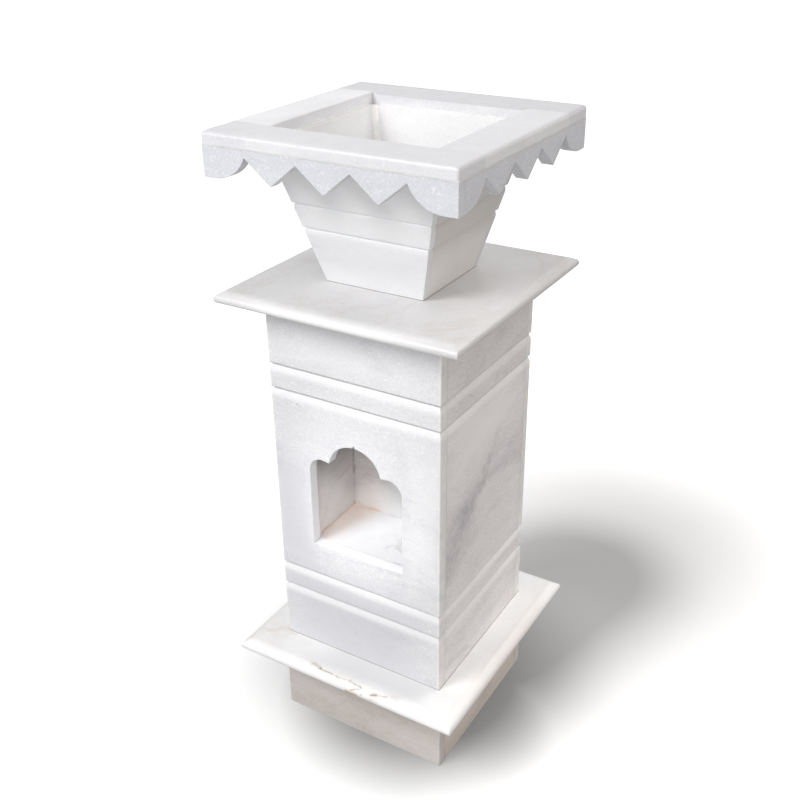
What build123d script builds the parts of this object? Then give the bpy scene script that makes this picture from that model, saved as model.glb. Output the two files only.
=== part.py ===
"""Marble tulsi vrindavan planter.

A free-standing altar planter, put together from cut marble slabs that are butted and bonded:
a hollow plinth, a base plate, a hollow square column with an arched lamp niche, a cap slab, and a
tapered bowl for the tulsi plant with a wide rim and a scalloped apron hanging under it.

The origin is on the ground, under the middle of the plinth.  +Z is up, and the niche faces -Y.
Every ring of four slabs is laid the same way: the front and back slabs run the full width, and
the left and right slabs stand between them.
"""

import os

from build123d import *

os.makedirs("parts", exist_ok=True)

# ---- driving dimensions, millimetres -----------------------------------------------------------

slab = 16.0  # thickness of the stock that most pieces are cut from
arris = 1.2  # easing on the edges that are left otherwise square

plinth_width = 273.0
plinth_height = 126.0

base_width = 363.0
base_depth = 380.0
base_thickness = 18.0

column_width = 265.0
column_height = 549.0
groove_depth = 5.0
groove_over = 4.0  # height of the small rounded edge over a groove
groove_under = 13.0  # height of the large rounded edge under it
turn_depth = 0.38  # that edge turns in sharply at this share of the groove's depth
turn_level = 0.25  # and at this share of its own height below the groove
column_groove_levels = (92.0, 129.0, 420.0, 456.0)  # above the foot of the column

niche_sill = 183.0  # above the foot of the column
niche_width = 148.0
jamb_height = 123.5  # straight part of the opening, above the sill
shoulder_radius = 21.0
cusp_drop = 1.8  # the shoulders dip this far towards the middle lobe
lobe_radius = 41.6
lobe_centre = 136.0  # above the sill
tip_width = 3.4
tip_rise = 5.5
lining_width = 158.0  # clear width inside the niche
lining_height = 188.5
lining_depth = 98.7  # clear depth behind the front slab
lining_slab = 12.0

cap_width = 357.0
# The base plate's and the cap slab's edges swell to a widest line, turn in steeply above it and
# then roll over to the top face.  Levels are shares of the plate's thickness.
nose_run = 13.6  # from the widest line in to the top face
nose_level = 0.38
roll_run = 3.0  # from the widest line in to where the roll starts
roll_level = 0.715

bowl_height = 190.0
bowl_foot = 145.0
bowl_mouth = 245.8
bowl_wall = 11.5  # level thickness of the tapered walls
bowl_groove_depth = 4.0
bowl_groove_over = 3.0
bowl_groove_under = 9.0
bowl_groove_levels = (75.0, 108.0)  # above the foot of the bowl
bowl_floor_thickness = 16.0
drain_diameter = 22.0

rim_width = 351.0
rim_opening = 233.0
rim_round = 5.0
rim_corner = 4.0

apron_drop = 40.0  # below the rim, to the tips of the teeth
tooth_pitch = 74.5
tooth_height = 30.0
lobe_run = 45.7  # from the last valley to the flat bottom of a corner lobe

# ---- levels that follow from them --------------------------------------------------------------

base_bottom = plinth_height
column_bottom = base_bottom + base_thickness
cap_bottom = column_bottom + column_height
bowl_bottom = cap_bottom + slab
rim_bottom = bowl_bottom + bowl_height
apron_bottom = rim_bottom - apron_drop
total_height = rim_bottom + slab


def nosed_plate(width, depth, thickness, bottom):
    """A level plate with a rolled nose along all four sides, mitred at its corners."""
    widest = bottom + thickness * nose_level
    roll_start = bottom + thickness * roll_level
    under_run = thickness * nose_level * 0.8
    top = bottom + thickness
    with BuildPart() as plate:
        for side, half, mode in (
            (Plane.XZ, width / 2, Mode.ADD),
            (Plane.YZ, depth / 2, Mode.INTERSECT),
        ):
            with BuildSketch(side) as section:
                with BuildLine():
                    Line((0, bottom), (half - under_run, bottom))
                    TangentArc((half, widest), (half - under_run, bottom), tangent=(0, -1))
                    steep = TangentArc(
                        (half, widest), (half - roll_run, roll_start), tangent=(0, 1)
                    )
                    TangentArc(steep @ 1, (half - nose_run, top), tangent=steep % 1)
                    Polyline((half - nose_run, top), (0, top), (0, bottom))
                make_face()
                mirror(about=Plane.YZ)
            extrude(section.sketch, amount=max(width, depth), both=True, mode=mode)
    return plate


def cut_grooves(half_width, level, depth, over, under, taper=0.0):
    """Grooves along all four sides of a square block, which meet in mitres at its corners.

    The level is the groove's deepest line.  The block's edges over and under it are rounded down
    to that line.  Taper is how far the sides lean out for each unit of rise.
    """
    outside = half_width + 4 * depth
    for side in (Plane.XZ, Plane.YZ):
        with BuildSketch(side) as channels:
            with BuildLine():
                TangentArc(
                    (half_width + taper * over, level + over),
                    (half_width - depth, level),
                    tangent=(-taper, -1),
                )
                soft = TangentArc(
                    (half_width - taper * under, level - under),
                    (
                        half_width - taper * turn_level * under - turn_depth * depth,
                        level - turn_level * under,
                    ),
                    tangent=(taper, 1),
                )
                TangentArc(soft @ 1, (half_width - depth, level), tangent=soft % 1)
                Polyline(
                    (half_width - taper * under, level - under),
                    (outside, level - under),
                    (outside, level + over),
                    (half_width + taper * over, level + over),
                )
            make_face()
            mirror(about=Plane.YZ)
        extrude(channels.sketch, amount=outside, both=True, mode=Mode.SUBTRACT)


def finish(builder, label):
    """Name a finished piece and write it out."""
    builder.part.label = label
    export_step(builder.part, f"parts/{label}.step")


# ---- plinth: four upright slabs that carry everything -------------------------------------------

plinth_offset = (plinth_width - slab) / 2

for name, direction in (("front", -1), ("back", 1)):
    with BuildPart() as plinth_long:
        with BuildSketch():
            with Locations((0, direction * plinth_offset)):
                Rectangle(plinth_width, slab)
        extrude(amount=plinth_height)
        outer = plinth_long.edges().filter_by(Axis.Z).group_by(Axis.Y)[0 if direction < 0 else -1]
        chamfer(outer, arris)
    finish(plinth_long, f"plinth_{name}")

for name, direction in (("left", -1), ("right", 1)):
    with BuildPart() as plinth_short:
        with BuildSketch():
            with Locations((direction * plinth_offset, 0)):
                Rectangle(slab, plinth_width - 2 * slab)
        extrude(amount=plinth_height)
    finish(plinth_short, f"plinth_{name}")

# ---- base plate: a wide plate with a rolled nose along its edge ---------------------------------

base_plate = nosed_plate(base_width, base_depth, base_thickness, base_bottom)
finish(base_plate, "base_plate")

# ---- column: its outer shape first, which the four slabs are then cut to ------------------------

with BuildPart() as column_block:
    with BuildSketch(Plane.XY.offset(column_bottom)):
        Rectangle(column_width, column_width)
    extrude(amount=column_height)
    chamfer(column_block.edges().filter_by(Axis.Z), arris)
    for groove_level in column_groove_levels:
        cut_grooves(
            column_width / 2,
            column_bottom + groove_level,
            groove_depth,
            groove_over,
            groove_under,
        )

column_offset = (column_width - slab) / 2
sill_level = column_bottom + niche_sill
front_plane = Plane.XZ.offset(column_width / 2)

# the front slab, with the lobed arch: a round middle lobe that ends in a small raised tip,
# between two lower quarter-round shoulders, over plain jambs and a level sill
with BuildPart() as column_front:
    with BuildSketch(Plane.XY.offset(column_bottom)):
        with Locations((0, -column_offset)):
            Rectangle(column_width, slab)
    extrude(amount=column_height)
    add(column_block.part, mode=Mode.INTERSECT)
    jamb = niche_width / 2
    spring_level = sill_level + jamb_height
    shoulder_level = spring_level + shoulder_radius
    lobe_level = sill_level + lobe_centre
    cusp_level = shoulder_level - cusp_drop
    cusp_half = (lobe_radius**2 - (cusp_level - lobe_level) ** 2) ** 0.5
    tip_foot = lobe_level + (lobe_radius**2 - (tip_width / 2) ** 2) ** 0.5
    lobe_flank = Vector(lobe_radius, 0).rotate(Axis.Z, 50) + Vector(0, lobe_level)
    with BuildSketch(front_plane) as niche_arch:
        with BuildLine():
            Polyline((0, sill_level), (jamb, sill_level), (jamb, spring_level))
            TangentArc(
                (jamb, spring_level), (jamb - shoulder_radius, shoulder_level), tangent=(0, 1)
            )
            Line((jamb - shoulder_radius, shoulder_level), (cusp_half, cusp_level))
            ThreePointArc((cusp_half, cusp_level), lobe_flank, (tip_width / 2, tip_foot))
            Polyline(
                (tip_width / 2, tip_foot),
                (0, lobe_level + lobe_radius + tip_rise),
                (0, sill_level),
            )
        make_face()
        mirror(about=Plane.YZ)
    extrude(amount=-slab, mode=Mode.SUBTRACT)
finish(column_front, "column_front")

with BuildPart() as column_back:
    with BuildSketch(Plane.XY.offset(column_bottom)):
        with Locations((0, column_offset)):
            Rectangle(column_width, slab)
    extrude(amount=column_height)
    add(column_block.part, mode=Mode.INTERSECT)
finish(column_back, "column_back")

for name, direction in (("left", -1), ("right", 1)):
    with BuildPart() as column_side:
        with BuildSketch(Plane.XY.offset(column_bottom)):
            with Locations((direction * column_offset, 0)):
                Rectangle(slab, column_width - 2 * slab)
        extrude(amount=column_height)
        add(column_block.part, mode=Mode.INTERSECT)
    finish(column_side, f"column_{name}")

# ---- niche lining: thin slabs bonded behind the front slab make the box for the lamp ------------

lining_front = -column_width / 2 + slab
lining_back = lining_front + lining_depth
lining_mid = (lining_front + lining_back) / 2
lining_outer = lining_width + 2 * lining_slab

with BuildPart() as niche_floor:
    with BuildSketch(Plane.XY.offset(sill_level - lining_slab)):
        with Locations((0, lining_mid + lining_slab / 2)):
            Rectangle(lining_outer, lining_depth + lining_slab)
    extrude(amount=lining_slab)
finish(niche_floor, "niche_floor")

for name, direction in (("left", -1), ("right", 1)):
    with BuildPart() as niche_wall:
        with BuildSketch(Plane.XY.offset(sill_level)):
            with Locations((direction * (lining_width + lining_slab) / 2, lining_mid)):
                Rectangle(lining_slab, lining_depth)
        extrude(amount=lining_height)
    finish(niche_wall, f"niche_{name}")

with BuildPart() as niche_back:
    with BuildSketch(Plane.XY.offset(sill_level)):
        with Locations((0, lining_back + lining_slab / 2)):
            Rectangle(lining_outer, lining_slab)
    extrude(amount=lining_height)
finish(niche_back, "niche_back")

with BuildPart() as niche_ceiling:
    with BuildSketch(Plane.XY.offset(sill_level + lining_height)):
        with Locations((0, lining_mid + lining_slab / 2)):
            Rectangle(lining_outer, lining_depth + lining_slab)
    extrude(amount=lining_slab)
finish(niche_ceiling, "niche_ceiling")

# ---- cap slab: a square plate with the same nose, drained into the hollow column ----------------

with BuildPart() as cap_slab:
    add(nosed_plate(cap_width, cap_width, slab, cap_bottom).part)
    with Locations((0, 0, bowl_bottom)):
        Hole(drain_diameter / 2, depth=slab)
finish(cap_slab, "cap_slab")

# ---- bowl: a hollow inverted pyramid, which four tapered walls are then cut from ----------------

bowl_taper = (bowl_mouth - bowl_foot) / 2 / bowl_height  # run outwards for each unit of rise

with BuildPart() as bowl_shell:
    with BuildSketch(Plane.XY.offset(bowl_bottom)):
        Rectangle(bowl_foot, bowl_foot)
    with BuildSketch(Plane.XY.offset(rim_bottom)):
        Rectangle(bowl_mouth, bowl_mouth)
    loft(ruled=True)
    for groove_level in bowl_groove_levels:
        cut_grooves(
            bowl_foot / 2 + bowl_taper * groove_level,
            bowl_bottom + groove_level,
            bowl_groove_depth,
            bowl_groove_over,
            bowl_groove_under,
            bowl_taper,
        )
    with BuildSketch(Plane.XY.offset(bowl_bottom)):
        Rectangle(bowl_foot - 2 * bowl_wall, bowl_foot - 2 * bowl_wall)
    with BuildSketch(Plane.XY.offset(rim_bottom)):
        Rectangle(bowl_mouth - 2 * bowl_wall, bowl_mouth - 2 * bowl_wall)
    loft(ruled=True, mode=Mode.SUBTRACT)

# the sloping planes of the inner front and back faces part the long walls from the short ones
front_parting = Plane(
    origin=(0, -(bowl_foot / 2 - bowl_wall), bowl_bottom),
    x_dir=(1, 0, 0),
    z_dir=(0, -1, -bowl_taper),
)
back_parting = Plane(
    origin=(0, bowl_foot / 2 - bowl_wall, bowl_bottom),
    x_dir=(1, 0, 0),
    z_dir=(0, 1, -bowl_taper),
)

with BuildPart() as bowl_wall_front:
    add(bowl_shell.part)
    split(bisect_by=front_parting, keep=Keep.TOP)
finish(bowl_wall_front, "bowl_wall_front")

with BuildPart() as bowl_wall_back:
    add(bowl_shell.part)
    split(bisect_by=back_parting, keep=Keep.TOP)
finish(bowl_wall_back, "bowl_wall_back")

for name, keep in (("left", Keep.BOTTOM), ("right", Keep.TOP)):
    with BuildPart() as bowl_wall_side:
        add(bowl_shell.part)
        split(bisect_by=front_parting, keep=Keep.BOTTOM)
        split(bisect_by=back_parting, keep=Keep.BOTTOM)
        split(bisect_by=Plane.YZ, keep=keep)
    finish(bowl_wall_side, f"bowl_wall_{name}")

with BuildPart() as bowl_floor:
    floor_foot = bowl_foot - 2 * bowl_wall
    floor_top = floor_foot + 2 * bowl_taper * bowl_floor_thickness
    with BuildSketch(Plane.XY.offset(bowl_bottom)):
        Rectangle(floor_foot, floor_foot)
    with BuildSketch(Plane.XY.offset(bowl_bottom + bowl_floor_thickness)):
        Rectangle(floor_top, floor_top)
    loft(ruled=True)
    with Locations((0, 0, bowl_bottom + bowl_floor_thickness)):
        Hole(drain_diameter / 2, depth=bowl_floor_thickness)
finish(bowl_floor, "bowl_floor")

# ---- rim: a flat frame of four slabs, rounded over along its outer top edge ---------------------

with BuildPart() as rim_block:
    with BuildSketch(Plane.XY.offset(rim_bottom)):
        RectangleRounded(rim_width, rim_width, rim_corner)
        Rectangle(rim_opening, rim_opening, mode=Mode.SUBTRACT)
    extrude(amount=slab)
    top_face = rim_block.faces().sort_by(Axis.Z)[-1]
    fillet(top_face.outer_wire().edges(), rim_round)
    inner_edges = rim_block.faces().sort_by(Axis.Z)[-1].inner_wires()[0].edges()
    chamfer(inner_edges, arris)

rim_band = (rim_width - rim_opening) / 2

for name, direction in (("front", -1), ("back", 1)):
    with BuildPart() as rim_long:
        with BuildSketch(Plane.XY.offset(rim_bottom)):
            with Locations((0, direction * (rim_width - rim_band) / 2)):
                Rectangle(rim_width, rim_band)
        extrude(amount=slab)
        add(rim_block.part, mode=Mode.INTERSECT)
    finish(rim_long, f"rim_{name}")

for name, direction in (("left", -1), ("right", 1)):
    with BuildPart() as rim_short:
        with BuildSketch(Plane.XY.offset(rim_bottom)):
            with Locations((direction * (rim_width - rim_band) / 2, 0)):
                Rectangle(rim_band, rim_opening)
        extrude(amount=slab)
        add(rim_block.part, mode=Mode.INTERSECT)
    finish(rim_short, f"rim_{name}")

# ---- apron: scalloped slabs on edge under the rim, with three teeth and a lobe at each corner ---


def scalloped_panel(length, face):
    """A panel whose outline is drawn from its middle tooth out to one end, then mirrored."""
    valley_level = apron_bottom + tooth_height
    last_valley = tooth_pitch * 1.5
    with BuildPart() as panel:
        with BuildSketch(face):
            with BuildLine():
                Polyline(
                    (0, rim_bottom),
                    (0, apron_bottom),
                    (tooth_pitch / 2, valley_level),
                    (tooth_pitch, apron_bottom),
                    (last_valley, valley_level),
                )
                TangentArc(
                    (last_valley + lobe_run, apron_bottom), (last_valley, valley_level), tangent=(-1, 0)
                )
                Polyline(
                    (last_valley + lobe_run, apron_bottom),
                    (length / 2, apron_bottom),
                    (length / 2, rim_bottom),
                    (0, rim_bottom),
                )
            make_face()
            mirror(about=Plane.YZ)
        extrude(amount=-slab)
    return panel


apron_width = rim_width - 1.0
apron_clear = apron_width - 2 * slab

apron_front = scalloped_panel(apron_width, Plane.XZ.offset(apron_width / 2))
finish(apron_front, "apron_front")

apron_back = scalloped_panel(apron_width, Plane.XZ.offset(slab - apron_width / 2))
finish(apron_back, "apron_back")

apron_right = scalloped_panel(apron_clear, Plane.YZ.offset(apron_width / 2))
finish(apron_right, "apron_right")

apron_left = scalloped_panel(apron_clear, Plane.YZ.offset(slab - apron_width / 2))
finish(apron_left, "apron_left")
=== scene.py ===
"""Marble tulsi vrindavan planter: the looks of each piece, in the order it is put together.

All sizes are metres.  The lamp niche faces -Y, +Z is up, and the ground is at z = 0.
"""

import math

import bpy
import numpy as np
from mathutils import Matrix


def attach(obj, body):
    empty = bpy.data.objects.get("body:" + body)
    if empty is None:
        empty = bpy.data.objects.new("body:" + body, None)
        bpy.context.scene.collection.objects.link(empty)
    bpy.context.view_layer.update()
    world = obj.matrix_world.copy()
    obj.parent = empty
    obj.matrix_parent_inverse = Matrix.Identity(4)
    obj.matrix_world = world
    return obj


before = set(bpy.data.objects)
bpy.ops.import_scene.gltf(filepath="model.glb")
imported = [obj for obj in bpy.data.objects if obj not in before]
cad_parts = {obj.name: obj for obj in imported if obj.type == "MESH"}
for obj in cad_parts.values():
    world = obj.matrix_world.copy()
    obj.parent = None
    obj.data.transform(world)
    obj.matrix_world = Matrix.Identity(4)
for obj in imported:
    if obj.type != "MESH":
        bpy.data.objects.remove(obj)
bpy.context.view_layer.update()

# ---- plinth --------------------------------------------------------------------------------------
# Four upright slabs of a warm beige marble, sawn and honed.  They stand on the ground and carry
# everything.  The stone is layered, so soft darker bands run level along each slab.


def corners_of(node):
    """The lowest and the highest corner of a carried-over slab, rounded to a micrometre."""
    box = np.array(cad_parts[node].bound_box)
    return box.min(axis=0).round(6), box.max(axis=0).round(6)


sides = ("front", "back", "left", "right")
plinth_half = corners_of("plinth_front")[1][0]
plinth_seam = corners_of("plinth_right")[1][1]
base_bottom, base_top = (corner[2] for corner in corners_of("base_plate"))
dirt = (0.20, 0.18, 0.16)
along_x, along_y = (1, 0, 0), (0, 1, 0)


def new_group(name, inputs, outputs):
    """An empty node group with the named sockets; returns the group and its two end nodes."""
    group = bpy.data.node_groups.new(name, "ShaderNodeTree")
    for label, kind, value in inputs:
        socket = group.interface.new_socket(label, in_out="INPUT", socket_type=kind)
        if value is not None:
            socket.default_value = value
    for label, kind in outputs:
        group.interface.new_socket(label, in_out="OUTPUT", socket_type=kind)
    return group, group.nodes.new("NodeGroupInput"), group.nodes.new("NodeGroupOutput")


def place(tree, kind, settings=None, links=None, **values):
    """Adds one node, sets its properties and plain inputs, and joins the given sockets to it."""
    node = tree.nodes.new(kind)
    for key, value in (settings or {}).items():
        setattr(node, key, value)
    for key, value in values.items():
        node.inputs[key.replace("_", " ")].default_value = value
    for key, source in (links or {}).items():
        tree.links.new(source, node.inputs[key])
    return node


def noise(tree, vector, scale, detail, roughness=0.5, distortion=0.0):
    """A cloud of noise around 0.5 that follows the given coordinates."""
    return place(
        tree, "ShaderNodeTexNoise", links={"Vector": vector}, Scale=scale, Detail=detail,
        Roughness=roughness, Distortion=distortion,
    ).outputs["Fac"]


def ramp(tree, value, low, high, to_low=0.0, to_high=1.0):
    """Stretches a value from low..high onto to_low..to_high, smoothly and with no overshoot."""
    node = place(tree, "ShaderNodeMapRange", {"interpolation_type": "SMOOTHSTEP"},
                 {"Value": value})
    for index, number in zip((1, 2, 3, 4), (low, high, to_low, to_high)):
        node.inputs[index].default_value = number
    return node.outputs["Result"]


def scalar(tree, operation, first, second):
    """One sum on numbers or sockets."""
    node = tree.nodes.new("ShaderNodeMath")
    node.operation = operation
    for socket, value in zip(node.inputs, (first, second)):
        if isinstance(value, (int, float)):
            socket.default_value = value
        else:
            tree.links.new(value, socket)
    return node.outputs[0]


def tint(tree, factor, base, over):
    """Base colour with another laid over it as far as the factor says."""
    node = tree.nodes.new("ShaderNodeMix")
    node.data_type = "RGBA"
    for socket, value in ((node.inputs[0], factor), (node.inputs[6], base), (node.inputs[7], over)):
        if isinstance(value, (int, float, tuple)):
            socket.default_value = value
        else:
            tree.links.new(value, socket)
    return node.outputs[2]


def build_marble_group():
    """Crystalline marble: wide clouds, a drifting grey vein where a bent noise crosses its middle
    value, a fine sugar grain, scattered white crystals and a few dark grains."""
    group, start, end = new_group(
        "marble_stone",
        [
            ("Vector", "NodeSocketVector", None),
            ("Pale", "NodeSocketColor", (0.8, 0.8, 0.8, 1)),
            ("Cloud", "NodeSocketColor", (0.7, 0.7, 0.72, 1)),
            ("Vein", "NodeSocketColor", (0.5, 0.5, 0.52, 1)),
            ("Cloudiness", "NodeSocketFloat", 0.6),
            ("Vein Strength", "NodeSocketFloat", 0.3),
            ("Crystals", "NodeSocketFloat", 0.3),
            ("Saw Marks", "NodeSocketFloat", 0.0),
        ],
        [
            ("Color", "NodeSocketColor"),
            ("Roughness", "NodeSocketFloat"),
            ("Height", "NodeSocketFloat"),
        ],
    )
    vector = start.outputs["Vector"]
    crystals, saw_marks = start.outputs["Crystals"], start.outputs["Saw Marks"]

    # the bedding leans across the slab, so the clouds are drawn out along a slanting line
    bedded = place(
        group, "ShaderNodeMapping", {"vector_type": "POINT"}, {"Vector": vector},
        Rotation=(0.5, 0.9, 0.35), Scale=(1.0, 1.0, 2.6),
    ).outputs["Vector"]

    clouds = noise(group, bedded, scale=5.5, detail=5.0, roughness=0.55, distortion=0.6)
    wisps = noise(group, bedded, scale=17.0, detail=6.0, roughness=0.62, distortion=1.1)
    cloud_mask = scalar(
        group, "ADD",
        scalar(group, "MULTIPLY", ramp(group, clouds, 0.36, 0.68), 0.65),
        scalar(group, "MULTIPLY", ramp(group, wisps, 0.38, 0.72), 0.35),
    )
    stone = tint(
        group, scalar(group, "MULTIPLY", cloud_mask, start.outputs["Cloudiness"]),
        start.outputs["Pale"], start.outputs["Cloud"],
    )

    # a vein lies where a strongly bent noise passes its middle value, and clouds break it up
    middle_value, vein_reach = 0.5, 0.035
    bent = noise(group, bedded, scale=3.4, detail=7.0, roughness=0.6, distortion=1.9)
    away = scalar(group, "ABSOLUTE", scalar(group, "SUBTRACT", bent, middle_value), 0.0)
    vein_mask = scalar(
        group, "MULTIPLY", ramp(group, away, 0.0, vein_reach, 1.0, 0.0),
        ramp(group, clouds, 0.42, 0.62),
    )
    stone = tint(
        group, scalar(group, "MULTIPLY", vein_mask, start.outputs["Vein Strength"]),
        stone, start.outputs["Vein"],
    )

    # sugar grain: each crystal of the stone is a cell with its own slight brightness
    dull_crystal, white_fleck = (0.46, 0.47, 0.51), (0.97, 0.97, 0.98)
    dark_grain = (0.36, 0.36, 0.40)
    cells = place(group, "ShaderNodeTexVoronoi", {"feature": "F1"}, {"Vector": vector}, Scale=760.0)
    grey_of_cell = place(
        group, "ShaderNodeSeparateColor", links={"Color": cells.outputs["Color"]}
    ).outputs["Red"]
    spots = noise(group, vector, scale=260.0, detail=3.0, roughness=0.75)
    specks = noise(group, vector, scale=110.0, detail=2.0, roughness=0.6)
    for source, low, high, strength, colour in (
        (grey_of_cell, 0.0, 1.0, 0.26, dull_crystal),
        (spots, 0.56, 0.70, 0.80, white_fleck),
        (specks, 0.73, 0.78, 0.40, dark_grain),
    ):
        shown = scalar(group, "MULTIPLY", ramp(group, source, low, high), crystals)
        stone = tint(group, scalar(group, "MULTIPLY", shown, strength), stone, (*colour, 1))

    # the saw leaves faint level scores on faces that were not polished out
    combed = place(group, "ShaderNodeMapping", {"vector_type": "POINT"}, {"Vector": vector},
                   Scale=(1.0, 1.0, 34.0))
    scores = noise(group, combed.outputs["Vector"], scale=9.0, detail=3.0, roughness=0.6)
    scored = scalar(group, "MULTIPLY", scores, saw_marks)
    lined = scalar(group, "MULTIPLY", ramp(group, scores, 0.44, 0.66), saw_marks)
    stone = tint(group, scalar(group, "MULTIPLY", lined, 0.14), stone, start.outputs["Vein"])

    height = scalar(
        group, "ADD",
        scalar(group, "MULTIPLY", grey_of_cell, 0.25),
        scalar(group, "ADD", scalar(group, "MULTIPLY", spots, 0.5), scored),
    )
    polish = scalar(
        group, "ADD", ramp(group, wisps, 0.3, 0.75, 0.30, 0.44),
        scalar(group, "MULTIPLY", scored, 0.25),
    )
    for label, source in (("Color", stone), ("Roughness", polish), ("Height", height)):
        group.links.new(source, end.inputs[label])
    return group


marble_stone = build_marble_group()


def marble_material(name, pale, cloud, vein, cloudiness, vein_strength, crystals, saw_marks,
                    edge_radius, shift):
    """A marble finish.  The shift moves the pattern, so that no two slabs show the same stone."""
    material = bpy.data.materials.new(name)
    material.use_nodes = True
    tree = material.node_tree
    shader = tree.nodes["Principled BSDF"]
    coords = tree.nodes.new("ShaderNodeTexCoord")
    moved = place(tree, "ShaderNodeMapping", links={"Vector": coords.outputs["Object"]},
                  Location=shift)
    stone = place(
        tree, "ShaderNodeGroup", {"node_tree": marble_stone}, {"Vector": moved.outputs["Vector"]},
        Pale=(*pale, 1), Cloud=(*cloud, 1), Vein=(*vein, 1), Cloudiness=cloudiness,
        Vein_Strength=vein_strength, Crystals=crystals, Saw_Marks=saw_marks,
    )
    # arrises rubbed down by hand: the shading turns over the edge within this radius
    eased = place(tree, "ShaderNodeBevel", {"samples": 6}, Radius=edge_radius)
    relief = place(
        tree, "ShaderNodeBump",
        links={"Height": stone.outputs["Height"], "Normal": eased.outputs["Normal"]},
        Strength=0.22, Distance=0.0006,
    )
    # worn arrises are whiter, and a painted highlight runs along them: there the eased normal leans
    # away from the face's own
    edge_white_and_highlight = (0.96, 0.96, 0.96, 1)
    face = tree.nodes.new("ShaderNodeNewGeometry")
    lean = place(tree, "ShaderNodeVectorMath", {"operation": "DOT_PRODUCT"})
    tree.links.new(eased.outputs["Normal"], lean.inputs[0])
    tree.links.new(face.outputs["Normal"], lean.inputs[1])
    edge_wear_and_highlight = ramp(tree, lean.outputs["Value"], 0.90, 0.995, 0.55, 0.0)
    tree.links.new(tint(tree, edge_wear_and_highlight, stone.outputs["Color"], edge_white_and_highlight),
                   shader.inputs["Base Color"])
    tree.links.new(stone.outputs["Roughness"], shader.inputs["Roughness"])
    tree.links.new(relief.outputs["Normal"], shader.inputs["Normal"])
    shader.inputs["IOR"].default_value = 1.49
    shader.inputs["Subsurface Weight"].default_value = 0.12
    shader.inputs["Subsurface Radius"].default_value = (0.010, 0.009, 0.008)
    shader.inputs["Subsurface Scale"].default_value = 0.5
    return material


def dress(node, material):
    """Gives a carried-over slab its stone."""
    slab_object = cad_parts[node]
    slab_object.data.materials.clear()
    slab_object.data.materials.append(material)


def build_seam_group():
    """A thin line of joint cement, broken up by noise.  It lies where the distance from the middle
    plane of the object, measured along the given axis, is the given number."""
    group, start, end = new_group(
        "joint_seam",
        [("Vector", "NodeSocketVector", None), ("Axis", "NodeSocketVector", (0, 1, 0)),
         ("At", "NodeSocketFloat", 0.1), ("Half Width", "NodeSocketFloat", 0.0006)],
        [("Mask", "NodeSocketFloat")],
    )
    both_sides = place(group, "ShaderNodeVectorMath", {"operation": "ABSOLUTE"},
                       {"Vector": start.outputs["Vector"]})
    along = place(group, "ShaderNodeVectorMath", {"operation": "DOT_PRODUCT"})
    group.links.new(both_sides.outputs["Vector"], along.inputs[0])
    group.links.new(start.outputs["Axis"], along.inputs[1])
    away = scalar(
        group, "ABSOLUTE",
        scalar(group, "SUBTRACT", along.outputs["Value"], start.outputs["At"]), 0.0,
    )
    near = scalar(group, "DIVIDE", away, start.outputs["Half Width"])
    broken = ramp(group, noise(group, start.outputs["Vector"], 60.0, 3.0), 0.35, 0.6, 0.35, 1.0)
    group.links.new(
        scalar(group, "MULTIPLY", ramp(group, near, 0.35, 1.0, 1.0, 0.0), broken),
        end.inputs["Mask"],
    )
    return group


joint_seam = build_seam_group()


def lay_over(material, group, strength, colour, **values):
    """Colours a finish where the group's mask says so, as far as the strength."""
    tree = material.node_tree
    coords = next(node for node in tree.nodes if node.bl_idname == "ShaderNodeTexCoord")
    mark = place(tree, "ShaderNodeGroup", {"node_tree": group},
                 {"Vector": coords.outputs["Object"]}, **values)
    stone = tree.nodes["Principled BSDF"].inputs["Base Color"]
    faded = scalar(tree, "MULTIPLY", mark.outputs["Mask"], strength)
    tree.links.new(tint(tree, faded, stone.links[0].from_socket, (*colour, 1)), stone)


for index, side in enumerate(sides):
    pale, cloud = (0.77, 0.725, 0.69), (0.63, 0.57, 0.525)
    # the right slab is painted paler and warmer: painted light for the light falling on that face
    if side == "right":
        pale, cloud = (0.86, 0.775, 0.70), (0.72, 0.64, 0.575)
    beige_marble = marble_material(
        f"beige_marble_{side}", pale, cloud, vein=(0.50, 0.45, 0.40),
        cloudiness=0.9, vein_strength=0.25, crystals=0.35, saw_marks=0.7, edge_radius=0.0012,
        shift=(0.31 * index, 0.17 * index, 0.05),
    )
    lay_over(beige_marble, joint_seam, 0.7, dirt, Axis=along_y, At=plinth_seam, Half_Width=0.0007)
    dress(f"plinth_{side}", beige_marble)


def bead_material(name, colour):
    """Set joint cement: matt, a little blotchy, with a fine sandy surface."""
    material = bpy.data.materials.new(name)
    material.use_nodes = True
    tree = material.node_tree
    shader = tree.nodes["Principled BSDF"]
    coords = tree.nodes.new("ShaderNodeTexCoord").outputs["Object"]
    blotches = ramp(tree, noise(tree, coords, 38.0, 4.0), 0.35, 0.65)
    darker = tuple(0.84 * part for part in colour)
    tree.links.new(tint(tree, blotches, (*colour, 1), (*darker, 1)), shader.inputs["Base Color"])
    sand = place(tree, "ShaderNodeBump", links={"Height": noise(tree, coords, 900.0, 2.0)},
                 Strength=0.3, Distance=0.0003)
    tree.links.new(sand.outputs["Normal"], shader.inputs["Normal"])
    shader.inputs["Roughness"].default_value = 0.85
    return material


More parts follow.
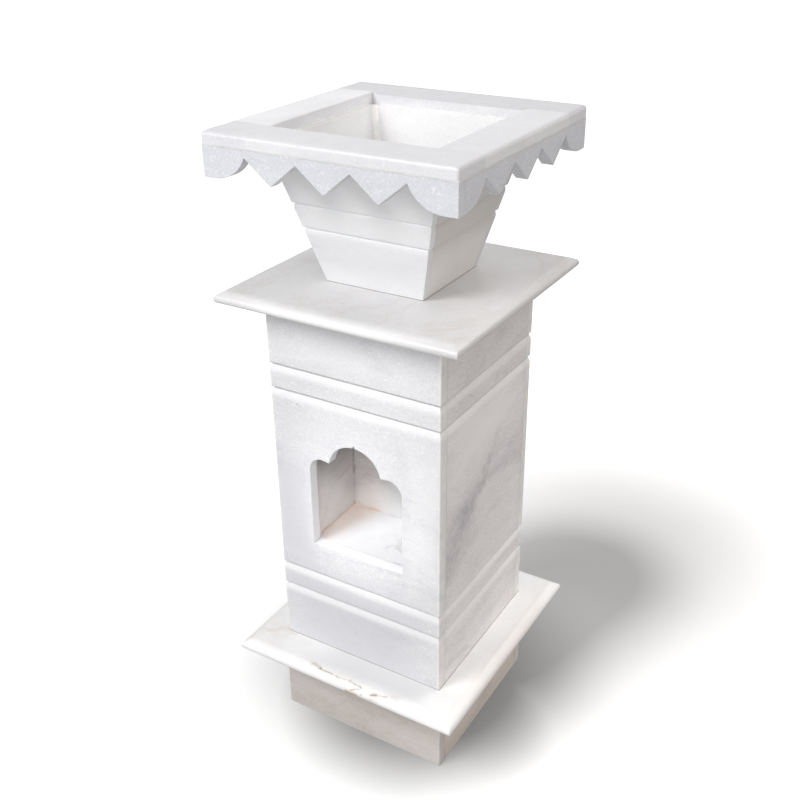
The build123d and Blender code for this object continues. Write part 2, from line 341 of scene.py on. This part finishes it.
def square_bead(name, half, level, reach, height, colour):
    """A bead carried round a square: its outline is half an oval that reaches outwards (inwards
    where the reach is negative), and its corners turn on a small quarter circle.  The outline
    closes on a point tucked back behind the joint."""
    corner_stops, arc_stops = 5, 7
    tucked, corner_inset = 0.3, 1.5
    turn = np.linspace(0, np.pi / 2, corner_stops)
    quarter = np.stack([np.cos(turn), np.sin(turn)], axis=1)
    spin = [np.array([[c, -s], [s, c]]) for c, s in ((1, 0), (0, 1), (-1, 0), (0, -1))]
    outward = np.concatenate([quarter @ matrix.T for matrix in spin])
    corners = np.concatenate(
        [np.repeat([matrix @ np.ones(2)], len(turn), axis=0) for matrix in spin]
    )
    arc = np.linspace(-np.pi / 2, np.pi / 2, arc_stops)
    across = np.concatenate([np.cos(arc) * reach, [-tucked * reach]])
    upright = np.concatenate([np.sin(arc) * height, [0.0]])
    inset = abs(reach) * corner_inset
    flat = (corners * (half - inset))[:, None, :] + outward[:, None, :] * (
        inset + across[None, :, None]
    )
    points = np.concatenate(
        [flat, np.broadcast_to(level + upright, flat.shape[:2])[..., None]], axis=2
    )
    rings, stops = flat.shape[:2]
    here = np.arange(rings * stops).reshape(rings, stops)
    ahead, over = np.roll(here, -1, axis=0), np.roll(here, -1, axis=1)
    faces = np.stack([here, ahead, np.roll(ahead, -1, axis=1), over], axis=2).reshape(-1, 4)
    if reach < 0:
        faces = faces[:, ::-1]
    mesh = bpy.data.meshes.new(name)
    mesh.from_pydata(points.reshape(-1, 3).tolist(), [], faces.tolist())
    bead = bpy.data.objects.new(name, mesh)
    bpy.context.collection.objects.link(bead)
    mesh.materials.append(bead_material(f"{name}_cement", colour))
    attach(bead, "root")


square_bead("plinth_bead", plinth_half, base_bottom - 0.0004, reach=0.0008, height=0.0006,
            colour=dirt)

# ---- base plate ----------------------------------------------------------------------------------
# One slab of the whitest stone, polished, with its edge ground to a rolled nose.  Rust-brown veins
# cross it near the front.

base_front = corners_of("base_plate")[0][1]


def build_vein_group():
    """A mineral vein between two points: the nearness to their straight line, after noise has
    bent the space around it, broken up by a finer noise as far as Breaks says."""
    group, start, end = new_group(
        "mineral_vein",
        [("Vector", "NodeSocketVector", None), ("Start", "NodeSocketVector", None),
         ("End", "NodeSocketVector", None), ("Half Width", "NodeSocketFloat", 0.002),
         ("Wander", "NodeSocketFloat", 0.006), ("Breaks", "NodeSocketFloat", 1.0)],
        [("Mask", "NodeSocketFloat")],
    )

    def sum_of(operation, first, second):
        """One sum on two vectors."""
        node = place(group, "ShaderNodeVectorMath", {"operation": operation})
        for socket, source in zip(node.inputs, (first, second)):
            if isinstance(source, tuple):
                socket.default_value = source
            else:
                group.links.new(source, socket)
        return node.outputs["Value" if operation in ("DOT_PRODUCT", "LENGTH") else "Vector"]

    def scaled(vector, factor):
        """A vector made longer or shorter by a socket's value."""
        node = place(group, "ShaderNodeVectorMath", {"operation": "SCALE"}, {"Vector": vector})
        group.links.new(factor, node.inputs["Scale"])
        return node.outputs["Vector"]

    swirl = place(group, "ShaderNodeTexNoise", links={"Vector": start.outputs["Vector"]},
                  Scale=55.0, Detail=3.0)
    drift = scaled(sum_of("SUBTRACT", swirl.outputs["Color"], (0.5, 0.5, 0.5)),
                   start.outputs["Wander"])
    bent = sum_of("ADD", start.outputs["Vector"], drift)
    line = sum_of("SUBTRACT", start.outputs["End"], start.outputs["Start"])
    reach = sum_of("SUBTRACT", bent, start.outputs["Start"])
    share = scalar(group, "DIVIDE", sum_of("DOT_PRODUCT", reach, line),
                   sum_of("DOT_PRODUCT", line, line))
    share = scalar(group, "MINIMUM", scalar(group, "MAXIMUM", share, 0.0), 1.0)
    away = sum_of("LENGTH", sum_of("SUBTRACT", reach, scaled(line, share)), (0.0, 0.0, 0.0))
    near = scalar(group, "DIVIDE", away, start.outputs["Half Width"])
    gaps = ramp(group, noise(group, start.outputs["Vector"], 140.0, 3.0), 0.38, 0.6, 0.75, 0.0)
    whole = scalar(group, "SUBTRACT", 1.0, scalar(group, "MULTIPLY", gaps, start.outputs["Breaks"]))
    group.links.new(
        scalar(group, "MULTIPLY", ramp(group, near, 0.1, 1.0, 1.0, 0.0), whole),
        end.inputs["Mask"],
    )
    return group


def build_box_group():
    """Everything inside a level box, fading out over the outer share of it that Fade names."""
    group, start, end = new_group(
        "box_patch",
        [("Vector", "NodeSocketVector", None), ("Centre", "NodeSocketVector", None),
         ("Half Size", "NodeSocketVector", (0.1, 0.1, 0.1)), ("Fade", "NodeSocketFloat", 0.1)],
        [("Mask", "NodeSocketFloat")],
    )
    away = place(group, "ShaderNodeVectorMath", {"operation": "SUBTRACT"})
    group.links.new(start.outputs["Vector"], away.inputs[0])
    group.links.new(start.outputs["Centre"], away.inputs[1])
    share = place(group, "ShaderNodeVectorMath", {"operation": "DIVIDE"})
    group.links.new(away.outputs["Vector"], share.inputs[0])
    group.links.new(start.outputs["Half Size"], share.inputs[1])
    size = place(group, "ShaderNodeVectorMath", {"operation": "ABSOLUTE"},
                 {"Vector": share.outputs["Vector"]})
    parts = place(group, "ShaderNodeSeparateXYZ", links={"Vector": size.outputs["Vector"]})
    farthest = scalar(
        group, "MAXIMUM", parts.outputs["X"],
        scalar(group, "MAXIMUM", parts.outputs["Y"], parts.outputs["Z"]),
    )
    inwards = scalar(
        group, "DIVIDE", scalar(group, "SUBTRACT", 1.0, farthest), start.outputs["Fade"]
    )
    group.links.new(ramp(group, inwards, 0.0, 1.0), end.inputs["Mask"])
    return group


mineral_vein = build_vein_group()
box_patch = build_box_group()

base_stone = marble_material(
    "veined_marble", pale=(0.96, 0.955, 0.95), cloud=(0.83, 0.825, 0.825), vein=(0.70, 0.66, 0.62),
    cloudiness=0.85, vein_strength=0.25, crystals=0.1, saw_marks=0.0, edge_radius=0.0045,
    shift=(0.4, 0.2, 0.9),
)


def on_base(across, inwards, down):
    """A place on the base plate, measured from its middle, its front edge and its top."""
    return across, base_front + inwards, base_top - down


# the rust runs over the rolled nose: a dark core in places, and a paler ochre stain round it
rust, ochre = (0.25, 0.16, 0.08), (0.60, 0.48, 0.34)
for start, end, half_width, wander, strength, colour in (
    ((-0.056, 0.013, 0.000), (-0.040, 0.011, 0.001), 0.0040, 0.009, 0.60, rust),
    ((-0.042, 0.011, 0.001), (-0.008, 0.009, 0.002), 0.0020, 0.007, 0.70, rust),
    ((-0.060, 0.014, 0.000), (-0.006, 0.008, 0.002), 0.0060, 0.010, 0.25, ochre),
    ((-0.008, 0.009, 0.002), (0.012, 0.010, 0.001), 0.0014, 0.007, 0.35, rust),
    ((0.010, 0.010, 0.001), (0.032, 0.007, 0.002), 0.0028, 0.008, 0.65, rust),
    ((0.018, 0.001, 0.007), (0.030, 0.004, 0.004), 0.0026, 0.007, 0.65, rust),
    ((0.010, 0.000, 0.014), (0.028, 0.000, 0.014), 0.0050, 0.007, 0.70, rust),
    ((0.014, 0.000, 0.013), (0.060, 0.000, 0.013), 0.0090, 0.012, 0.40, ochre),
    ((0.036, 0.001, 0.008), (0.074, 0.010, 0.001), 0.0012, 0.006, 0.75, rust),
    ((0.052, 0.004, 0.004), (0.059, 0.006, 0.003), 0.0040, 0.007, 0.85, rust),
    ((0.056, 0.006, 0.003), (0.088, 0.012, 0.000), 0.0070, 0.012, 0.25, ochre),
    ((-0.167, 0.040, 0.000), (-0.114, 0.058, 0.000), 0.0070, 0.020, 0.25, ochre),
):
    lay_over(base_stone, mineral_vein, strength, colour, Start=on_base(*start), End=on_base(*end),
             Half_Width=half_width, Wander=wander, Breaks=0.6)
# a grey cloud lies behind the rust, and painted shade makes the nose on the right browner
lay_over(base_stone, box_patch, 0.9, (0.74, 0.74, 0.75), Centre=on_base(0.040, 0.040, 0),
         Half_Size=(0.150, 0.032, 0.004), Fade=0.70)
lay_over(base_stone, box_patch, 0.55, (0.74, 0.66, 0.62), Centre=(0.186, 0, 0.130),
         Half_Size=(0.030, 0.200, 0.022), Fade=0.90)
dress("base_plate", base_stone)

# ---- column --------------------------------------------------------------------------------------
# Four slabs of grey-white marble, honed, with V grooves run round them.  The front and back slabs
# run the full width, so the ends of the front slab show on the side faces.

column_half, column_top = corners_of("column_front")[1][[0, 2]]
column_seam = corners_of("column_right")[1][1]
groove_levels = [base_top + rise for rise in (0.092, 0.129, 0.420, 0.456)]
slab_middle = (column_half + column_seam) / 2
shelf_highlight_drop, shelf_highlight_reach = 0.0065, 0.0095
groove_shade_rise, groove_shade_reach = 0.0010, 0.0035
skin = 0.010  # how deep a patch on one face reaches into the stone
all_round = 1.0  # a patch of this half size runs all round

for index, side in enumerate(sides):
    pale, cloud = (0.83, 0.83, 0.85), (0.72, 0.72, 0.75)
    # the right slab is painted paler and warmer: painted light for the light falling on that face
    if side == "right":
        pale, cloud = (0.95, 0.915, 0.91), (0.75, 0.705, 0.70)
    column_marble = marble_material(
        f"column_marble_{side}", pale, cloud, vein=(0.54, 0.55, 0.60),
        cloudiness=0.9, vein_strength=0.30, crystals=1.2 if side == "right" else 0.9,
        saw_marks=0.15, edge_radius=0.0022,
        shift=(0.5 + 0.41 * index, 0.27 * index, 0.13 * index),
    )
    if side in ("front", "back"):
        # the sawn ends of these slabs are yellower than their honed faces
        lay_over(column_marble, joint_seam, 0.6, (0.95, 0.92, 0.85), Axis=along_x,
                 At=column_half + 0.0005, Half_Width=0.0050)
    if side == "right":
        # a grey vein drifts down across this face and widens, and the stone above it is whiter
        for (start_y, start_z), (end_y, end_z), half_width, strength in (
            ((0.034, 0.490), (-0.010, 0.434), 0.014, 0.35),
            ((-0.012, 0.432), (-0.062, 0.402), 0.022, 0.45),
            ((-0.060, 0.405), (-0.114, 0.345), 0.050, 0.55),
        ):
            lay_over(
                column_marble, mineral_vein, strength, (0.44, 0.43, 0.44),
                Start=(column_half, start_y, start_z), End=(column_half, end_y, end_z),
                Half_Width=half_width, Wander=0.030, Breaks=0.6,
            )
        lay_over(column_marble, box_patch, 0.6, (0.98, 0.96, 0.955),
                 Centre=(column_half, 0, 0.520), Half_Size=(skin, 0.150, 0.070), Fade=0.9)
    if side == "front":
        # one short dark scratch near the top of the panel
        lay_over(column_marble, mineral_vein, 0.8, dirt, Start=(-0.0902, -column_half, 0.549),
                 End=(-0.0882, -column_half, 0.549), Half_Width=0.0016, Wander=0.002)
        # broad patches: greyer at the foot and on the left, whiter on the right; the whiter patch
        # at the top is painted light that lifts the shade under the cap
        whiter = (0.95, 0.95, 0.96)
        for strength, colour, (middle_x, middle_z), (half_x, half_z), fade in (
            (0.65, (0.62, 0.62, 0.66), (-0.020, 0.200), (0.160, 0.120), 0.7),
            (0.70, (0.64, 0.64, 0.68), (-0.105, 0.380), (0.045, 0.130), 0.8),
            (0.45, whiter, (0.108, 0.420), (0.036, 0.170), 0.8),
            (0.35, whiter, (0.000, 0.655), (0.140, 0.060), 0.6),
        ):
            lay_over(
                column_marble, box_patch, strength, colour, Fade=fade,
                Centre=(middle_x, -column_half, middle_z), Half_Size=(half_x, skin, half_z),
            )
        # the cut faces round the arched opening are painted whiter than the honed front: painted
        # light on the reveals
        lay_over(column_marble, box_patch, 0.95, (0.96, 0.97, 0.985),
                 Centre=(0, -slab_middle, 0.400), Half_Size=(0.0765, 0.0077, 0.100), Fade=0.02)
    if side in ("left", "right"):
        lay_over(column_marble, joint_seam, 0.5, dirt, Axis=along_y, At=column_seam,
                 Half_Width=0.0009)
    # painted shade darkens the grooves, and a painted highlight whitens the shelves under them
    shelf_highlight_strength = 0.7 if side in ("left", "right") else 0.45
    for level in groove_levels:
        lay_over(column_marble, box_patch, shelf_highlight_strength, (0.97, 0.96, 0.955),
                 Centre=(0, 0, level - shelf_highlight_drop), Half_Size=(all_round, all_round, shelf_highlight_reach),
                 Fade=1.0)
        lay_over(column_marble, box_patch, 0.4, (0.36, 0.35, 0.34),
                 Centre=(0, 0, level + groove_shade_rise), Half_Size=(all_round, all_round, groove_shade_reach),
                 Fade=0.9)
    dress(f"column_{side}", column_marble)

square_bead("column_foot_bead", column_half, base_top + 0.0002, reach=0.0006, height=0.0006,
            colour=(0.46, 0.45, 0.44))

# ---- lamp niche ----------------------------------------------------------------------------------
# Thin slabs bonded behind the arch make the box that holds the oil lamp.  Smoke and painted shadow
# darken the top of the box, and painted warm shade lies along the foot of the walls and on the left
# of the floor.

wall_face = corners_of("niche_left")[1][0]
back_face = corners_of("niche_back")[0][1]
floor_face = corners_of("niche_floor")[1][2]
crease_corner_y = -0.018  # the painted shade lines along the wall foot turn the corner here
soot_and_shadow, crease_shade_tint = (0.07, 0.06, 0.045), (0.72, 0.50, 0.34)

niche_stone = marble_material(
    "niche_wall_marble", pale=(0.87, 0.835, 0.82), cloud=(0.69, 0.645, 0.625),
    vein=(0.56, 0.50, 0.48), cloudiness=0.7, vein_strength=0.3, crystals=0.5, saw_marks=0.1,
    edge_radius=0.0010, shift=(0.2, 0.8, 0.3),
)
niche_floor_stone = marble_material(
    "niche_floor_marble", pale=(0.95, 0.955, 0.965), cloud=(0.80, 0.80, 0.84),
    vein=(0.60, 0.59, 0.63), cloudiness=1.0, vein_strength=0.7, crystals=0.3, saw_marks=0.0,
    edge_radius=0.0010, shift=(0.6, 0.1, 0.3),
)
# smoke and painted shadow darken the ceiling and fade out down the walls
lay_over(niche_stone, box_patch, 0.93, soot_and_shadow, Centre=(0, -0.060, 0.520),
         Half_Size=(0.3, 0.3, 0.122), Fade=0.74)
# the lit right half of the back slab is painted a cooler grey: painted light, the tone of the light
# falling there past the jamb
lay_over(niche_stone, box_patch, 0.55, (0.56, 0.59, 0.61), Centre=(0.030, -0.015, 0.380),
         Half_Size=(0.075, 0.008, 0.100), Fade=0.5)
# the wall's front edge beside the opening is painted paler, where the smoke and painted shadow thin
# out and painted light stands in for the light reaching in
lay_over(niche_stone, box_patch, 0.8, (0.86, 0.80, 0.77), Centre=(wall_face, -0.118, 0.400),
         Half_Size=(0.004, 0.018, 0.085), Fade=1.0)
# a dark line where the two lining slabs meet, and painted warm shade along the crease at the foot
# of the walls
lay_over(niche_stone, mineral_vein, 0.5, (0.24, 0.21, 0.17), Start=(wall_face, back_face, 0.385),
         End=(wall_face, back_face, 0.515), Half_Width=0.0045, Wander=0.004, Breaks=0.6)
lay_over(niche_stone, mineral_vein, 0.5, (0.66, 0.48, 0.34),
         Start=(wall_face, -0.105, floor_face), End=(wall_face, crease_corner_y, floor_face),
         Half_Width=0.0070, Wander=0.008, Breaks=0.6)
lay_over(niche_stone, mineral_vein, 0.6, crease_shade_tint,
         Start=(wall_face, crease_corner_y, floor_face), End=(-0.036, crease_corner_y, floor_face),
         Half_Width=0.0080, Wander=0.008, Breaks=0.6)
# painted warm shade on the floor's left, where the jamb's shadow falls
lay_over(niche_floor_stone, mineral_vein, 0.8, (0.99, 0.83, 0.73), Start=(-0.084, -0.100, 0.318),
         End=(-0.060, -0.010, 0.318), Half_Width=0.045, Wander=0.016, Breaks=0.2)
for piece in ("left", "right", "back", "ceiling"):
    dress(f"niche_{piece}", niche_stone)
dress("niche_floor", niche_floor_stone)

# ---- cap slab ------------------------------------------------------------------------------------
# A wide polished plate with an oval nose all round its edge, bonded on top of the column.

cap_top = corners_of("cap_slab")[1][2]
cap_middle = (column_top + cap_top) / 2
cap_nose = 0.180

cap_marble = marble_material(
    "cap_marble", pale=(0.73, 0.725, 0.73), cloud=(0.63, 0.62, 0.625), vein=(0.60, 0.55, 0.51),
    cloudiness=0.7, vein_strength=0.4, crystals=0.3, saw_marks=0.0, edge_radius=0.0030,
    shift=(0.9, 0.1, 0.4),
)
# painted highlight whitens the ground nose at the front, and painted shade dulls it on the right
lay_over(cap_marble, box_patch, 0.7, (0.93, 0.93, 0.93), Centre=(0, -cap_nose, cap_middle),
         Half_Size=(0.190, 0.014, 0.020), Fade=0.8)
lay_over(cap_marble, box_patch, 0.5, (0.60, 0.58, 0.57), Centre=(cap_nose, 0, cap_middle),
         Half_Size=(0.012, 0.190, 0.020), Fade=0.8)
dress("cap_slab", cap_marble)
square_bead("cap_bead", column_half, column_top - 0.0004, reach=0.0008, height=0.0006,
            colour=dirt)

# ---- bowl ----------------------------------------------------------------------------------------
# Four tapered slabs and a floor make the planting bowl.  The walls are a little whiter and warmer
# than the column, and are polished on the outside.

bowl_foot_half = 0.0725
cove_radius, cove_foot_half, cove_mouth_half = 0.006, 0.0653, 0.1113
white_cement = (0.99, 0.975, 0.955)
rim_bottom, rim_top = (corner[2] for corner in corners_of("rim_front"))
bowl_floor_top = corners_of("bowl_floor")[1][2]

for index, side in enumerate(sides):
    pale, cloud = (0.80, 0.80, 0.81), (0.70, 0.695, 0.70)
    # the front and right walls are painted lighter than the back and left: painted light for how
    # light falls on each, cool on the front and warm on the right
    if side == "front":
        pale, cloud = (0.91, 0.915, 0.93), (0.83, 0.835, 0.85)
    if side == "right":
        pale, cloud = (0.89, 0.87, 0.835), (0.82, 0.795, 0.755)
    bowl_marble = marble_material(
        f"bowl_marble_{side}", pale, cloud, vein=(0.62, 0.60, 0.58),
        cloudiness=0.6, vein_strength=0.2, crystals=0.35, saw_marks=0.0, edge_radius=0.0018,
        shift=(0.15 + 0.37 * index, 0.6, 0.21 * index),
    )
    if side == "front":
        # greyer at the foot, and painted light whitens the apron's shade near the top
        lay_over(bowl_marble, box_patch, 0.4, (0.68, 0.68, 0.70), Centre=(0, -0.090, 0.720),
                 Half_Size=(0.15, 0.03, 0.080), Fade=0.9)
        lay_over(bowl_marble, box_patch, 0.6, (0.97, 0.975, 0.99), Centre=(0, -0.110, 0.830),
                 Half_Size=(0.15, 0.04, 0.060), Fade=0.6)
    if side == "right":
        # painted shade dulls the wall under the apron
        lay_over(bowl_marble, box_patch, 0.7, (0.66, 0.64, 0.60), Centre=(0.100, 0, 0.850),
                 Half_Size=(0.06, 0.15, 0.100), Fade=0.4)
    dress(f"bowl_wall_{side}", bowl_marble)
dress("bowl_floor", marble_material(
    "bowl_floor_marble", pale=(0.74, 0.73, 0.72), cloud=(0.66, 0.65, 0.64), vein=(0.52, 0.50, 0.48),
    cloudiness=0.7, vein_strength=0.2, crystals=0.3, saw_marks=0.2, edge_radius=0.0010,
    shift=(0.7, 0.3, 0.2),
))
square_bead("bowl_foot_bead", bowl_foot_half + 0.0002, cap_top + 0.0002, reach=0.0006,
            height=0.0005, colour=(0.40, 0.39, 0.38))


def corner_coves(name, radius, low, high, low_half, high_half):
    """Cement coves up the bowl's four inner corners.  Each is a hollow quarter circle, set in the
    corner and swept straight from the low level out to the high one, with its back tucked a
    little into the walls."""
    arc_stops, tucked = 9, 0.0006
    turn = np.linspace(0, np.pi / 2, arc_stops)
    section = np.concatenate([
        np.stack([np.cos(turn), np.sin(turn)], axis=1) * radius - radius, [[tucked, tucked]]
    ])
    signs = np.array([(1, 1), (-1, 1), (-1, -1), (1, -1)])
    halves, levels = np.array([low_half, high_half]), np.array([low, high])
    flat = (halves[None, :, None, None] + section[None, None]) * signs[:, None, None, :]
    points = np.concatenate(
        [flat, np.broadcast_to(levels[None, :, None, None], (*flat.shape[:3], 1))], axis=3
    )
    count = len(section)
    here = np.arange(count)
    ahead = np.roll(here, -1)
    ring = np.stack([here, here + count, ahead + count, ahead], axis=1)
    faces = []
    for corner, (sign_x, sign_y) in enumerate(signs):
        walls = ring if sign_x * sign_y < 0 else ring[:, ::-1]
        ends = [here[::-1], here + count] if sign_x * sign_y > 0 else [here, (here + count)[::-1]]
        faces += (walls + corner * 2 * count).tolist()
        faces += [(end + corner * 2 * count).tolist() for end in ends]
    mesh = bpy.data.meshes.new(name)
    mesh.from_pydata(points.reshape(-1, 3).tolist(), [], faces)
    coves = bpy.data.objects.new(name, mesh)
    bpy.context.collection.objects.link(coves)
    mesh.materials.append(bead_material(f"{name}_cement", white_cement))
    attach(coves, "root")


corner_coves("bowl_coves", cove_radius, bowl_floor_top + 0.0002, rim_bottom - 0.0002,
             cove_foot_half, cove_mouth_half)

# ---- rim and apron -------------------------------------------------------------------------------
# A frame of four flat slabs, rounded over on its outer top edge, with scalloped slabs bonded on
# edge under it.  The stone is a cool grey-white, and the apron shows its crystals most.

apron_half = corners_of("apron_front")[1][0]
opening_half = corners_of("rim_right")[0][0]
top_shade_strength = {"front": 0.60, "back": 0.90, "left": 0.20, "right": 0.60}

for index, side in enumerate(sides):
    pale, cloud = (0.80, 0.80, 0.825), (0.69, 0.69, 0.72)
    # the right slab is painted paler: painted light for the light falling on that face
    if side == "right":
        pale, cloud = (0.89, 0.885, 0.90), (0.79, 0.785, 0.80)
    rim_marble = marble_material(
        f"rim_marble_{side}", pale, cloud, vein=(0.54, 0.55, 0.59),
        cloudiness=0.8, vein_strength=0.25, crystals=0.5, saw_marks=0.0, edge_radius=0.0018,
        shift=(0.33 * index, 0.52 * index, 0.7),
    )
    # painted shade greys the level top more than the edge, by a different amount on each side
    lay_over(rim_marble, box_patch, top_shade_strength[side], (0.53, 0.53, 0.56), Centre=(0, 0, rim_top),
             Half_Size=(all_round, all_round, 0.004), Fade=0.6)
    dress(f"rim_{side}", rim_marble)
    dress(f"apron_{side}", marble_material(
        f"apron_marble_{side}", pale=(0.74, 0.75, 0.785), cloud=(0.64, 0.65, 0.69),
        vein=(0.51, 0.53, 0.58), cloudiness=0.6, vein_strength=0.2, crystals=1.0, saw_marks=0.1,
        edge_radius=0.0016, shift=(0.11 + 0.29 * index, 0.44 * index, 0.35),
    ))

square_bead("rim_bead", apron_half, rim_bottom - 0.0002, reach=0.0006, height=0.0006,
            colour=(0.90, 0.88, 0.83))
square_bead("rim_ledge_bead", opening_half, rim_bottom + 0.0004, reach=-0.0008, height=0.0007,
            colour=(0.92, 0.91, 0.89))

# ---- ground, light and camera --------------------------------------------------------------------
# A plain white studio: a wide pale floor with a painted shadow, a soft key lamp at the front left,
# a high lamp behind on the right, dimmer lamps from the side and front, and an even fill all round.
# Small soft spots bring up the niche, the back corner of the base plate and the inside of the bowl.

floor_size = 40.0
floor_mesh = bpy.data.meshes.new("studio_floor")
corners = np.array([(-1, -1, 0), (1, -1, 0), (1, 1, 0), (-1, 1, 0)]) * floor_size / 2
floor_mesh.from_pydata(corners.tolist(), [], [(0, 1, 2, 3)])
studio_floor = bpy.data.objects.new("studio_floor", floor_mesh)
bpy.context.collection.objects.link(studio_floor)

floor_paint = bpy.data.materials.new("floor_paint")
floor_paint.use_nodes = True
paint_tree = floor_paint.node_tree
paint_shader = paint_tree.nodes["Principled BSDF"]
paint_shader.inputs["Roughness"].default_value = 0.9
paint_shader.inputs["Specular IOR Level"].default_value = 0.0
floor_spot = paint_tree.nodes.new("ShaderNodeTexCoord").outputs["Object"]

# painted shadow: the floor's glow and colour are dimmed close round the plinth and, more widely, on
# the side away from the key lamp
shadow_middle, shadow_core, shadow_reach = (0.02, 0.02, 0.0), 0.100, 0.352
floor_white, floor_darkest = 0.92, 0.08
from_middle = place(paint_tree, "ShaderNodeVectorMath", {"operation": "DISTANCE"})
paint_tree.links.new(floor_spot, from_middle.inputs[0])
from_middle.inputs[1].default_value = shadow_middle
clear_of_plinth = ramp(paint_tree, from_middle.outputs["Value"], shadow_core, shadow_reach)
shades = []
for start, end, half_width, strength in (
    ((-0.05, 0.12, 0), (0.12, 0.50, 0), 0.62, 0.58),
    ((0.10, 0.15, 0), (0.13, 0.38, 0), 0.28, 0.42),
):
    shade = place(
        paint_tree, "ShaderNodeGroup", {"node_tree": mineral_vein}, {"Vector": floor_spot},
        Start=start, End=end, Half_Width=half_width, Wander=0.0, Breaks=0.0,
    )
    shades.append(scalar(paint_tree, "MULTIPLY", shade.outputs["Mask"], strength))
dimmed = scalar(paint_tree, "ADD", *shades)
whiteness = scalar(
    paint_tree, "MINIMUM", scalar(paint_tree, "MULTIPLY", clear_of_plinth, floor_white),
    scalar(paint_tree, "SUBTRACT", floor_white, dimmed),
)
whiteness = scalar(paint_tree, "MAXIMUM", whiteness, floor_darkest)
paint_tree.links.new(
    tint(paint_tree, clear_of_plinth, (0.20, 0.20, 0.20, 1), (0.50, 0.50, 0.50, 1)),
    paint_shader.inputs["Base Color"],
)
paint_shader.inputs["Emission Color"].default_value = (1, 1, 1, 1)
floor_seen = paint_tree.nodes.new("ShaderNodeLightPath")
paint_tree.links.new(
    scalar(paint_tree, "MULTIPLY", floor_seen.outputs["Is Camera Ray"], whiteness),
    paint_shader.inputs["Emission Strength"],
)
floor_mesh.materials.append(floor_paint)

world = bpy.data.worlds.new("studio_world")
bpy.context.scene.world = world
world.use_nodes = True
sky_tree = world.node_tree
sky_light = sky_tree.nodes["Background"]
sky_light.inputs["Color"].default_value = (1.0, 1.0, 1.0, 1)
sky_light.inputs["Strength"].default_value = 0.34
sky_seen = place(sky_tree, "ShaderNodeBackground", Strength=1.0)
sky_seen.inputs["Color"].default_value = (1, 1, 1, 1)
ray = sky_tree.nodes.new("ShaderNodeLightPath")
direct = scalar(
    sky_tree, "MAXIMUM", ray.outputs["Is Camera Ray"],
    scalar(sky_tree, "MAXIMUM", ray.outputs["Is Glossy Ray"], ray.outputs["Is Transmission Ray"]),
)
sky_mix = place(sky_tree, "ShaderNodeMixShader")
sky_tree.links.new(direct, sky_mix.inputs[0])
sky_tree.links.new(sky_light.outputs[0], sky_mix.inputs[1])
sky_tree.links.new(sky_seen.outputs[0], sky_mix.inputs[2])
sky_tree.links.new(sky_mix.outputs[0], sky_tree.nodes["World Output"].inputs["Surface"])


def facing(place_at, aim_at):
    """The turn that points a lamp at the given point."""
    direction = np.array(aim_at) - np.array(place_at)
    return (
        math.acos(-direction[2] / np.linalg.norm(direction)), 0.0,
        math.atan2(direction[0], -direction[1]) + math.pi,
    )


def soft_lamp(name, place_at, aim_at, size, power, colour):
    """A square area lamp that faces the given point."""
    lamp = bpy.data.lights.new(name, "AREA")
    lamp.size = size
    lamp.energy = power
    lamp.color = colour
    lamp_object = bpy.data.objects.new(name, lamp)
    lamp_object.location = place_at
    lamp_object.rotation_euler = facing(place_at, aim_at)
    bpy.context.collection.objects.link(lamp_object)


def soft_spot(name, place_at, aim_at, cone, power, size):
    """A round lamp whose narrow cone, in degrees, fades out softly towards its rim."""
    lamp = bpy.data.lights.new(name, "SPOT")
    lamp.energy = power
    lamp.spot_size = math.radians(cone)
    lamp.spot_blend = 1.0
    lamp.shadow_soft_size = size
    lamp_object = bpy.data.objects.new(name, lamp)
    lamp_object.location = place_at
    lamp_object.rotation_euler = facing(place_at, aim_at)
    bpy.context.collection.objects.link(lamp_object)


planter_middle = (0, 0, 0.45)
neutral, warm, warmest = (1.0, 1.0, 1.0), (1.0, 0.97, 0.93), (1.0, 0.90, 0.84)
soft_lamp("key_lamp", (-1.04, -2.14, 2.59), planter_middle, size=1.3, power=68.0, colour=neutral)
soft_lamp("back_lamp", (1.15, 1.65, 2.9), planter_middle, size=1.4, power=36.0, colour=warm)
soft_lamp("side_lamp", (2.70, -0.95, 1.95), planter_middle, size=1.4, power=14.0, colour=warmest)
soft_lamp("front_lamp", (0.4, -3.0, 0.8), planter_middle, size=2.0, power=14.0, colour=neutral)

# the first spot shines past the left jamb, whose shadow then stands across the niche
soft_spot("niche_lamp", (-0.70, -1.72, 1.07), (0.020, -0.120, 0.370), cone=8.0, power=17.0,
          size=0.02)
soft_spot("niche_floor_lamp", (-0.40, -1.04, 1.50), (0.015, -0.090, 0.345), cone=8.5, power=8.0,
          size=0.02)
soft_spot("niche_fill_lamp", (0.28, -1.05, 1.50), (-0.040, -0.070, 0.330), cone=9.0, power=42.0,
          size=0.08)
soft_spot("base_lamp", (1.20, 1.05, 1.60), (0.165, 0.190, 0.144), cone=15.0, power=32.0, size=0.08)
soft_spot("bowl_lamp", (1.00, -0.30, 1.90), (-0.100, 0.090, 0.870), cone=9.0, power=14.0, size=0.08)

# the camera looks down from the right of the front: turned from the +Y axis, tipped down, and
# leaning a little to one side, all in degrees
turned, tipped, leaning = 31.426, 27.514, -0.771
camera = bpy.data.cameras.new("camera")
camera.sensor_width = 36.0
camera.lens = 46.63
camera.shift_x = 0.001
camera_object = bpy.data.objects.new("camera", camera)
camera_object.location = (0.6738, -1.1168, 1.1976)
camera_object.rotation_mode = "QUATERNION"
turn, drop, roll = (math.radians(angle) for angle in (turned, tipped, leaning))
forward = np.array([
    -math.sin(turn) * math.cos(drop), math.cos(turn) * math.cos(drop), -math.sin(drop)
])
sideways = np.array([math.cos(turn), math.sin(turn), 0.0])
upright = np.cross(sideways, forward)
right = math.cos(roll) * sideways + math.sin(roll) * upright
up = -math.sin(roll) * sideways + math.cos(roll) * upright
camera_object.rotation_quaternion = Matrix(
    np.stack([right, up, -forward], axis=1).tolist()
).to_quaternion()
bpy.context.collection.objects.link(camera_object)
bpy.context.scene.camera = camera_object
bpy.context.scene.view_settings.view_transform = "Standard"
